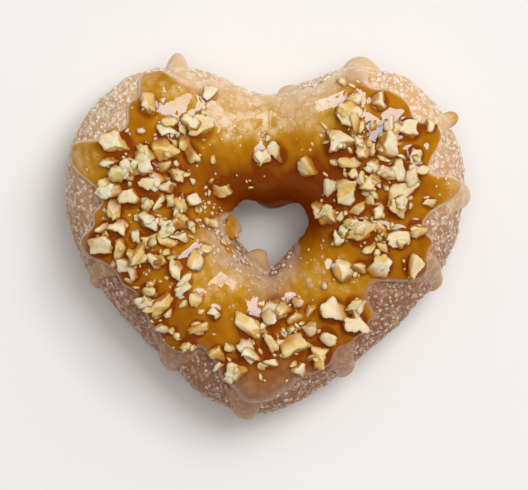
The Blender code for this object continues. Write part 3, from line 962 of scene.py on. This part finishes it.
def crust_look(tree, settings):
    """The colour and the fine relief of fried dough dusted with sugar: a crust that
    is golden near the notch and darker and browner towards the tip, which is
    painted shade, mottled, with a pale line round its waist, browner underneath,
    darker on the wall of the hole as painted shade, frosted with fine pale specks,
    and soaked with caramel high up near the tip."""
    height, tip = own_axis(tree, "Z"), towards_tip(tree)
    cloud = effect(tree, "Mottle", Size=9 * MM, Contrast=1.8)
    from_waist = maths(tree, "ABSOLUTE", maths(tree, "SUBTRACT", height, WAIST_LINE))
    flat = vector_maths(tree, "MULTIPLY", {0: own_place(tree), 1: (1.0, 1.0, 0.0)})
    from_hole = vector_maths(tree, "DISTANCE", {0: flat, 1: (*HOLE_MIDDLE, 0.0)}, "Value")
    film = effect(tree, "Mottle", Size=2.2 * MM, Contrast=2.2, Shift=0.48)
    specks = effect(tree, "Speckle", Size=1.4 * MM, Reach=0.76, Softness=0.32)
    frosted = maths(tree, "MAXIMUM", scaled(tree, film, 0.22), scaled(tree, specks, 0.9))
    high = mapped(tree, height, *SOAKED_SPAN, 0.4)
    # The tip's colours and the darker wall of the hole are painted shade.
    colour = layered(
        tree, settings.colour,
        (tip, settings.tip_colour),
        (scaled(tree, cloud, 0.35), settings.underside),
        (scaled(tree, mapped(tree, height, *UNDERSIDE_SPAN), 0.75), settings.underside),
        (mapped(tree, from_waist, WAIST_LINE_HALF, 0.0, 0.5), settings.waist),
        (mapped(tree, from_hole, *WALL_SHADE_SPAN, 0.45), settings.underside),
        (frosted, mixed(tree, tip, settings.frost, settings.tip_frost)),
        (scaled(tree, high, maths(tree, "POWER", tip, 3.0)), settings.soaked))
    return colour, maths(tree, "ADD", film, specks)


def crust_material(settings):
    """Fried dough dusted with sugar."""
    material, tree, shader = new_material("sugared_crust")
    colour, relief = crust_look(tree, settings)
    fill(tree, shader, {
        "Base Color": colour, "Normal": bump(tree, relief, 0.3 * MM, 0.6), "Roughness": 0.75,
        "Specular IOR Level": 0.25, **soft(0.3, (1.0, 0.5, 0.3), 2 * MM)})
    return material


def caramel_material(settings, crust_settings):
    """Clear caramel over sugared dough. Where it covers, it is golden, amber or
    brown as it gets richer; part of that richness is painted shade, above the hole,
    over the lower part and beside the nuts. At its edges, and where it is thin, the
    sugared dough shows through. The surface is glossy."""
    material, tree, shader = new_material("caramel")
    cloud = effect(tree, "Mottle", Size=5 * MM, Contrast=1.0)
    uneven = scaled(tree, maths(tree, "SUBTRACT", cloud, 0.5), 0.24)
    rich = maths(tree, "ADD", field(tree, "richness"), uneven)
    ramp = add_node(tree, "ShaderNodeValToRGB", {"Fac": rich})
    stops = ((0.0, settings.thin), (0.28, settings.golden), (0.56, settings.amber),
             (1.0, settings.brown))
    while len(ramp.color_ramp.elements) < len(stops):
        ramp.color_ramp.elements.new(0.5)
    for stop, (where, colour) in zip(ramp.color_ramp.elements, stops):
        stop.position = where
        stop.color = (*colour, 1.0)
    thin = mapped(tree, rich, 0.42, 0.12, 0.7)
    specks = maths(tree, "MAXIMUM",
                   effect(tree, "Speckle", Size=2.1 * MM, Reach=0.8, Softness=0.3),
                   effect(tree, "Speckle", Size=0.9 * MM, Reach=0.7, Softness=0.3))
    sunk = scaled(tree, thin, specks)
    caramel = mixed(tree, sunk, ramp.outputs["Color"], settings.sunk_sugar)
    crust, _ = crust_look(tree, crust_settings)
    # The film is painted darker towards the tip as painted shade.
    film = mixed(tree, field(tree, "tip_shade"), settings.film, settings.tip_film)
    smooth = maths(tree, "SUBTRACT", 1.0, scaled(tree, thin, 1.25))
    fill(tree, shader, {
        "Base Color": layered(
            tree, crust, (field(tree, "milk"), film), (field(tree, "cover"), caramel)),
        "Normal": bump(tree, sunk, 0.25 * MM, 0.8),
        "Roughness": 0.35, "Specular IOR Level": 0.0,
        **soft(0.35, (1.0, 0.35, 0.06), 2 * MM),
        "Coat Weight": maths(tree, "MULTIPLY", smooth, field(tree, "gloss"), clamp=True),
        "Coat Roughness": 0.02, "Coat IOR": 1.48})
    return material


def kernel_material(settings):
    """Chopped kernel: cream where it is freshly broken, tan where it is toasted, tan
    in its bites as painted shade, darker where it stands in the caramel and on its
    steep sides, which is caramel soak and painted shade, and brown where its papery
    skin is left on."""
    material, tree, shader = new_material("chopped_nut")
    cloud = effect(tree, "Mottle", Size=3 * MM, Contrast=2.2, Shift=0.55)
    tone = scaled(tree, maths(tree, "POWER", field(tree, "tone"), 3.0), 0.6)
    toasted = maths(tree, "ADD", scaled(tree, cloud, 0.7), tone)
    # The bites are painted tan: painted shade in the hollows.
    hollow = scaled(tree, field(tree, "hollow"), 0.75)
    grain = effect(tree, "Mottle", Size=0.7 * MM, Contrast=1.5)
    # The soak field paints caramel soak and painted shade on the lower and steep sides.
    fill(tree, shader, {
        "Base Color": layered(
            tree, settings.kernel,
            (maths(tree, "ADD", toasted, hollow, clamp=True), settings.toasted),
            (field(tree, "soak_and_shade"), settings.soaked), (field(tree, "skin"), settings.skin)),
        "Normal": bump(tree, grain, 0.1 * MM, 0.7),
        "Roughness": 0.45, "Specular IOR Level": 0.08,
        **soft(0.45, (1.0, 0.62, 0.28), 1.6 * MM), "Coat Weight": 0.03, "Coat Roughness": 0.12})
    return material


def sugar_material(settings):
    """Sugar grains: some whitish, others dull and warm, and a little translucent.
    They are painted darker and browner towards the tip as painted shade, those on
    the crust most."""
    material, tree, shader = new_material("sugar_grains")
    tip = scaled(tree, towards_tip(tree), field(tree, "tip_shade"))
    white = mixed(tree, tip, settings.colour, settings.tip_colour)
    dull = mixed(tree, tip, settings.dull, settings.tip_dull)
    fill(tree, shader, {
        "Base Color": mixed(tree, field(tree, "tone"), dull, white), "Roughness": 0.5,
        "Specular IOR Level": 0.25, **soft(0.4, (1.0, 0.8, 0.65), 0.6 * MM)})
    return material


def table_material(colour):
    """A matt table top with a very faint mottle."""
    material, tree, shader = new_material("table_top")
    cloud = effect(tree, "Mottle", Size=80 * MM, Contrast=0.6)
    darker = tuple(value * 0.985 for value in colour)
    fill(tree, shader, {"Base Color": mixed(tree, cloud, colour, darker), "Roughness": 0.85})
    return material


# The glaze.


def tip_shade(points, start):
    """How far the glaze is painted darker and browner towards the tip, as painted
    shade, from a starting y.
    """
    return share_past(points[..., 1], start, -TIP_SHADE_SPAN)


def distance_from(edge, skin):
    """The distance of each point from the nearest point of an edge, looked for
    within some degrees of heading."""
    nearest = np.full(skin.shape[:2], 1.0)
    for offset in range(-EDGE_SEARCH, EDGE_SEARCH + 1):
        away = np.linalg.norm(skin - np.roll(edge, offset, axis=0), axis=-1)
        nearest = np.minimum(nearest, away)
    return nearest


def glaze_depths(settings, roll, skin, edges):
    """The glaze's depth: a quarter circle at the edges, wider where it thins out, and
    thinner down the wall of the hole."""
    rounded = 1.0 - WALL_THINNING * share_past(roll, WALL_ROLL, WALL_ROLL_SPAN)
    for away, fade in edges:
        rounded = rounded * quarter_circle(away, settings.edge_width + FADE_ROUNDING * fade)
    return poured_depth(skin, settings.depth) * rounded


def beside_nuts(settings, skin):
    """1 under and right beside the chips, falling to 0 within a third of their size."""
    x, y = plan(skin)
    chips, extra, *_ = all_kernels(settings)
    beside = np.zeros(x.shape)
    for chip_x, chip_y, long, wide, _ in chips + extra:
        away = np.hypot(x - chip_x, y - chip_y) / ((long + wide) / 4)
        beside = np.maximum(beside, bell(np.maximum(away - BESIDE_REACH, 0.0), BESIDE_FALL))
    return beside


def caramel_colouring(skin, edges):
    """How rich the caramel's colour is at each point, and how far it hides the
    sugared dough: hardly at its rounded edges and where it thins out."""
    x, y = plan(skin, MM)
    rich = RICHNESS + sum(more * patch(x, y, spot) for *spot, more in RICH_PATCHES.values())
    rich = rich + 0.06 * ripple(skin, 8 * MM, 21) + 0.05 * ripple(skin, 2.6 * MM, 22)
    cover = np.ones(x.shape)
    for away, fade in edges:
        share = share_past(away, EDGE_CLEAR, EDGE_FADE + MM * fade)
        cover = cover * share * share * (3 - 2 * share)
    for bubble_x, bubble_y, radius, _, _ in BUBBLES:
        away = np.hypot(x - bubble_x, y - bubble_y) / radius
        cover = np.maximum(cover, np.clip(3.5 - 3.5 * away, 0.0, 0.9))
    return rich, cover


def add_drips(material):
    """The drips, milky where they are thin, more amber in their beads and richest
    along their outlines, which is painted shade of a clear drop's rim. The one that
    runs furthest down the hole's wall is brown, deeper caramel and painted shade in
    the hole."""
    shapes = []
    for heading, end, half_width, bead, bend, amber, flank in DRIPS:
        points, near, outline = drip_surface(
            heading, end, half_width * MM, bead * MM, bend, flank)
        rich, cover, gloss = BROWN_DRIP if end > BROWN_DRIP_ROLL else MILKY_DRIP
        # The richer colour along the outline is painted shade.
        shapes.append((points.reshape(-1, 3), loop_faces(*DRIP_STEPS, open_rows=True), {
            "richness": rich + 0.3 * outline,
            "cover": np.minimum(cover + near * (0.8 * amber + 0.2 * outline), 1.0),
            "gloss": np.full(near.shape, gloss),
            "milk": 0.35 + 0.4 * near,
            "tip_shade": tip_shade(points, DRIP_SHADE_START if end < 90.0 else HOLE_SHADE_START)}))
    close_poles(new_piece(
        "caramel_drips", gathered(shapes), material, "caramel_and_nuts"))


# The sugar.


def on_crust(heading, roll, draw):
    """Bare crust, right up to the glaze and a little under its edges. Fewer grains
    stick to the underside."""
    outer, inner = glaze_edges(heading)
    bare = (roll < outer + GRAIN_OVERLAP) | (roll > inner - GRAIN_OVERLAP)
    below = np.cos(np.radians(roll - 270.0))
    return bare & (draw.random(len(roll)) > np.clip(below * 1.4 - 0.3, 0.0, 0.85))


def on_thin_glaze(heading, roll, draw):
    """The thin, pale parts of the glaze, and more on the left of the hole."""
    outer, inner = glaze_edges(heading)
    inside = (roll > outer + 5.0) & (roll < np.minimum(inner, INNER_EDGE_ROLL) - 4.0)
    x, y = plan(dough_point(heading, roll), MM)
    pale = sum(-more * patch(x, y, spot) for *spot, more in RICH_PATCHES.values() if more < 0)
    left = 0.8 * share_past(roll, 112.0, 20.0) * swelling(heading, 205.0, 35.0)
    return inside & (draw.random(len(roll)) < 0.04 + 1.3 * pale + left)


def sugar_grains(shape, count, lengths, surface, draw, bare, allowed):
    """Flattened grains of one shape at random places that are allowed, half sunk
    in a surface a given height over the dough. A heading and roll is kept in
    proportion to the area there, so the grains lie evenly. Grains that aren't on
    the bare crust are duller. Returns their points, faces and fields."""
    tries = count * 40
    heading, roll = draw.uniform(0, 360, tries), draw.uniform(-180, 180, tries)
    roll = np.where(roll < -90, roll + 360, roll)
    area = np.linalg.norm(dough_slope(heading, roll), axis=-1)
    keep = allowed(heading, roll, draw) & (draw.random(tries) < area / np.quantile(area, 0.98))
    heading, roll = heading[keep][:count], roll[keep][:count]
    kept = len(heading)
    normal = dough_normal(heading, roll)
    size = draw.uniform(*lengths, (kept, 1)) * MM / 2
    place = dough_point(heading, roll)
    centres = place + normal * (surface(place)[:, None] - size * 0.1)
    corners, corner_faces = shape
    spins = np.linalg.qr(draw.normal(size=(kept, 3, 3)))[0]
    spins *= np.sign(np.linalg.det(spins))[:, None, None]
    uneven = draw.uniform(0.6, 1.25, (kept, len(corners), 1))
    grains = np.einsum("gci,gij->gcj", corners[None] * uneven, spins) * size[:, None]
    rise = (grains * normal[:, None]).sum(axis=-1, keepdims=True)
    grains = grains - (1 - GRAIN_FLATNESS) * rise * normal[:, None]
    points = (grains + centres[:, None]).reshape(-1, 3)
    points[:, 2] = np.maximum(points[:, 2], 0.0)
    starts = (np.arange(kept) * len(corners))[:, None, None]
    tone = np.repeat(draw.random(kept) ** 0.9, len(corners)) * (1.0 if bare else 0.7)
    fields = {"tone": tone, "tip_shade": np.full(len(points), 1.0 if bare else 0.65)}
    return points, (corner_faces[None] + starts).reshape(-1, 3), fields


# The studio.


def add_floor(colour):
    """A pale table top, level with the doughnut's underside."""
    half = FLOOR_HALF
    corners = [(-half, -half, 0), (half, -half, 0), (half, half, 0), (-half, half, 0)]
    mesh = bpy.data.meshes.new("table_top")
    mesh.from_pydata(corners, [], [(0, 1, 2, 3)])
    mesh.materials.append(table_material(colour))
    floor = bpy.data.objects.new("table_top", mesh)
    bpy.context.scene.collection.objects.link(floor)


def add_softbox(name, place, size, power, mirrored):
    """A rectangular light that faces the doughnut. A mirrored one is only seen
    in the gloss, and the others never are."""
    light = bpy.data.lights.new(name, "AREA")
    light.shape = "RECTANGLE"
    light.size, light.size_y = size
    light.energy = power
    light.color = WINDOW_TINT if mirrored else LAMP_TINT
    lamp = bpy.data.objects.new(name, light)
    lamp.visible_glossy = mirrored
    lamp.visible_diffuse = not mirrored
    lamp.location = place
    lamp.rotation_euler = (-Vector(place)).to_track_quat("-Z", "Y").to_euler()
    bpy.context.scene.collection.objects.link(lamp)


def add_camera(context, settings):
    """A long lens straight above, which frames a given width at the waist."""
    camera = bpy.data.cameras.new("overhead")
    away = settings.camera_height - CREST_HEIGHT * WAIST_SHARE
    camera.lens = camera.sensor_width * away / FRAME_WIDTH
    camera.clip_start, camera.clip_end = 0.05, 10.0
    eye = bpy.data.objects.new("overhead", camera)
    eye.location = (*FRAME_MIDDLE, settings.camera_height)
    context.scene.collection.objects.link(eye)
    context.scene.camera = eye


# The operators, one for each piece or group of like pieces.


class DOUGHNUT_OT_dough(bpy.types.Operator):
    """Makes the ring of dough"""

    bl_idname = "doughnut.dough"
    bl_label = "Bake the Dough"

    def execute(self, context):
        settings = context.scene.doughnut_crust
        heading, roll = np.meshgrid(*(np.arange(steps) * 360.0 / steps for steps in DOUGH_STEPS),
                                    indexing="ij")
        skin = dough_point(heading, roll)
        lumps = crust_height(skin, settings.roughness_height)
        points = (skin + dough_normal(heading, roll) * lumps[..., None]).reshape(-1, 3)
        points[:, 2] = np.maximum(points[:, 2], 0.0)
        new_piece("dough_ring", (points, loop_faces(*DOUGH_STEPS), {}),
                  crust_material(settings), "dough")
        return {"FINISHED"}


class DOUGHNUT_OT_glaze(bpy.types.Operator):
    """Pours the caramel glaze over the dough"""

    bl_idname = "doughnut.glaze"
    bl_label = "Pour the Glaze"

    def execute(self, context):
        settings = context.scene.doughnut_glaze
        heading = np.arange(GLAZE_STEPS)[:, None] * 360.0 / GLAZE_STEPS
        ease = np.linspace(0, np.pi, GLAZE_TOP_STEPS)
        share = EDGE_CROWDING * (1 - np.cos(ease)) / 2 + (1 - EDGE_CROWDING) * ease / np.pi
        outer, inner = glaze_edges(heading)
        roll = outer + (inner - outer) * share
        skin = dough_point(heading, roll)
        edges = [(distance_from(dough_point(heading, edge), skin), wander(heading, fades))
                 for edge, fades in ((outer, OUTER_FADES), (inner, INNER_FADES))]
        beside = beside_nuts(context.scene.doughnut_nuts, skin)
        depth = glaze_depths(settings, roll, skin, edges)
        depth = depth + CHIP_CLIMB * beside * np.minimum(depth / settings.depth, 1.0)
        top = skin + dough_normal(heading, roll) * depth[..., None]
        back_roll = outer + (inner - outer) * np.linspace(1, 0, GLAZE_BACK_STEPS)
        back = dough_point(heading, back_roll) - dough_normal(heading, back_roll) * GLAZE_SUNK
        points = np.concatenate([top, back], axis=1)
        points[..., 2] = np.maximum(points[..., 2], 0.0)
        rich, cover = caramel_colouring(skin, edges)
        # Beside the nuts the richness adds painted shade as well as deeper caramel.
        on_top = {"richness": rich + SHADE_AND_RICHNESS_BESIDE_NUTS * beside, "cover": cover,
                  "gloss": share_past(roll, GLOSS_END_ROLL, -GLOSS_ROLL_SPAN)}
        bare = np.zeros(back.shape[:2])
        fields = {name: np.concatenate([values, bare], axis=1) for name, values in on_top.items()}
        outside = np.concatenate([roll, back_roll], axis=1) < 90.0
        fields["milk"] = np.full(points.shape[:2], 0.5)
        fields["tip_shade"] = tip_shade(points, np.where(outside, GLAZE_SHADE_START, HOLE_SHADE_START))
        material = caramel_material(settings, context.scene.doughnut_crust)
        shape = points.reshape(-1, 3), loop_faces(*points.shape[:2]), fields
        new_piece("caramel_glaze", shape, material, "caramel_and_nuts")
        add_drips(material)
        return {"FINISHED"}


class DOUGHNUT_OT_nuts(bpy.types.Operator):
    """Strews the chopped nuts over the glaze"""

    bl_idname = "doughnut.nuts"
    bl_label = "Strew the Nuts"

    def execute(self, context):
        settings = context.scene.doughnut_nuts
        depth = context.scene.doughnut_glaze.depth
        material = kernel_material(settings)
        chips, extra, bits, crumbs, draw = all_kernels(settings)
        count = len(BIG_CHIPS)
        taken = []
        # Each with how finely it is made, the most that it tilts, and the share that
        # has some skin.
        for name, rows, fineness, tilt, skinned in (
                ("nut_chips", chips[:count], 4, 26.0, 0.12),
                ("nut_small_chips", chips[count:] + extra, 3, 35.0, 0.26),
                ("nut_bits", bits, 1, 60.0, 0.35),
                ("nut_crumbs", crumbs, 1, 90.0, 0.35)):
            kernels = laid_kernels(rows, draw, ball(fineness), depth, taken, tilt, skinned)
            new_piece(name, kernels, material, "caramel_and_nuts")
        return {"FINISHED"}


class DOUGHNUT_OT_sugar(bpy.types.Operator):
    """Rolls the sides of the doughnut in sugar"""

    bl_idname = "doughnut.sugar"
    bl_label = "Roll in Sugar"

    def execute(self, context):
        settings = context.scene.doughnut_sugar
        material = sugar_material(settings)
        draw = np.random.default_rng(GRAIN_SEED)
        unevenness = context.scene.doughnut_crust.roughness_height
        depth = context.scene.doughnut_glaze.depth

        def crust(place):
            """The height of the crust's lumps over the dough."""
            return crust_height(place, unevenness)

        def glaze(place):
            """The glaze's depth, less how much deeper a grain lies in it."""
            return poured_depth(place, depth) - GRAIN_SUNK

        blob = ball(0)
        gem = (np.array([(1.0, 0, 0), (-1, 0, 0), (0, 1, 0), (0, -1, 0), (0, 0, 1), (0, 0, -1)]),
               np.array([(0, 2, 4), (2, 1, 4), (1, 3, 4), (3, 0, 4),
                         (2, 0, 5), (1, 2, 5), (3, 1, 5), (0, 3, 5)]))
        for name, shape, count, lengths, surface, node, allowed in (
                ("sugar_coarse", blob, settings.coarse, COARSE_LENGTHS, crust, "dough", on_crust),
                ("sugar_fine", gem, settings.fine, FINE_LENGTHS, crust, "dough", on_crust),
                ("sugar_on_glaze", blob, settings.on_glaze, ON_GLAZE_LENGTHS, glaze,
                 "caramel_and_nuts", on_thin_glaze)):
            grains = sugar_grains(shape, count, lengths, surface, draw, node == "dough", allowed)
            new_piece(name, grains, material, node)
        return {"FINISHED"}


class DOUGHNUT_OT_stage(bpy.types.Operator):
    """Sets the table top, the lights and the camera"""

    bl_idname = "doughnut.stage"
    bl_label = "Set the Stage"

    def execute(self, context):
        settings = context.scene.doughnut_studio
        add_floor(settings.floor)
        # Each softbox with its place, its size, its power and whether the gloss shows it.
        for softbox in (
                ("window_right", (0.60, 1.07, 1.42), (0.95, 1.2), 1.9 * settings.window_power, True),
                ("window_left", (-0.40, 1.30, 1.24), (0.7, 0.85), settings.window_power, True),
                ("key", (0.76, 0.77, 2.03), (1.1, 1.1), settings.key_power, False),
                ("low_key", (1.06, 1.06, 1.17), (0.9, 0.9), settings.low_power, False),
                ("overhead", (0.0, 0.0, 1.7), (0.86, 0.86), settings.overhead_power, False)):
            add_softbox(*softbox)
        world = bpy.data.worlds.new("studio_room")
        world.use_nodes = True
        tree = world.node_tree
        mirrored = add_node(tree, "ShaderNodeLightPath").outputs["Is Glossy Ray"]
        strength = add_node(tree, "ShaderNodeMapRange", {
            "Value": mirrored, "To Min": settings.room_light, "To Max": 0.25 * settings.room_light})
        fill(tree, tree.nodes["Background"],
             {"Color": (*ROOM_TINT, 1.0), "Strength": strength.outputs[0]})
        context.scene.world = world
        context.scene.view_settings.view_transform = "Standard"
        add_camera(context, settings)
        return {"FINISHED"}


class DOUGHNUT_PT_panel(bpy.types.Panel):
    """The doughnut's pieces and values"""

    bl_idname = "DOUGHNUT_PT_panel"
    bl_label = "Heart-Shaped Doughnut"
    bl_space_type = "VIEW_3D"
    bl_region_type = "UI"
    bl_category = "Doughnut"

    def draw(self, context):
        for operator, name, _ in PIECES:
            box = self.layout.box()
            box.operator(operator.bl_idname)
            values = getattr(context.scene, name)
            for value in type(values).__annotations__:
                box.prop(values, value)


# Each operator, and where the scene keeps its values.
PIECES = (
    (DOUGHNUT_OT_dough, "doughnut_crust", CrustSettings),
    (DOUGHNUT_OT_glaze, "doughnut_glaze", GlazeSettings),
    (DOUGHNUT_OT_nuts, "doughnut_nuts", NutSettings),
    (DOUGHNUT_OT_sugar, "doughnut_sugar", SugarSettings),
    (DOUGHNUT_OT_stage, "doughnut_studio", StudioSettings),
)


def register():
    for operator, name, group in PIECES:
        bpy.utils.register_class(group)
        setattr(bpy.types.Scene, name, PointerProperty(type=group))
        bpy.utils.register_class(operator)
    bpy.utils.register_class(DOUGHNUT_PT_panel)


def unregister():
    bpy.utils.unregister_class(DOUGHNUT_PT_panel)
    for operator, name, group in reversed(PIECES):
        bpy.utils.unregister_class(operator)
        delattr(bpy.types.Scene, name)
        bpy.utils.unregister_class(group)


def main():
    """Makes every piece."""
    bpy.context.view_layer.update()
    register()
    bpy.ops.doughnut.dough()
    bpy.ops.doughnut.glaze()
    bpy.ops.doughnut.nuts()
    bpy.ops.doughnut.sugar()
    bpy.ops.doughnut.stage()


if __name__ == "__main__":
    main()
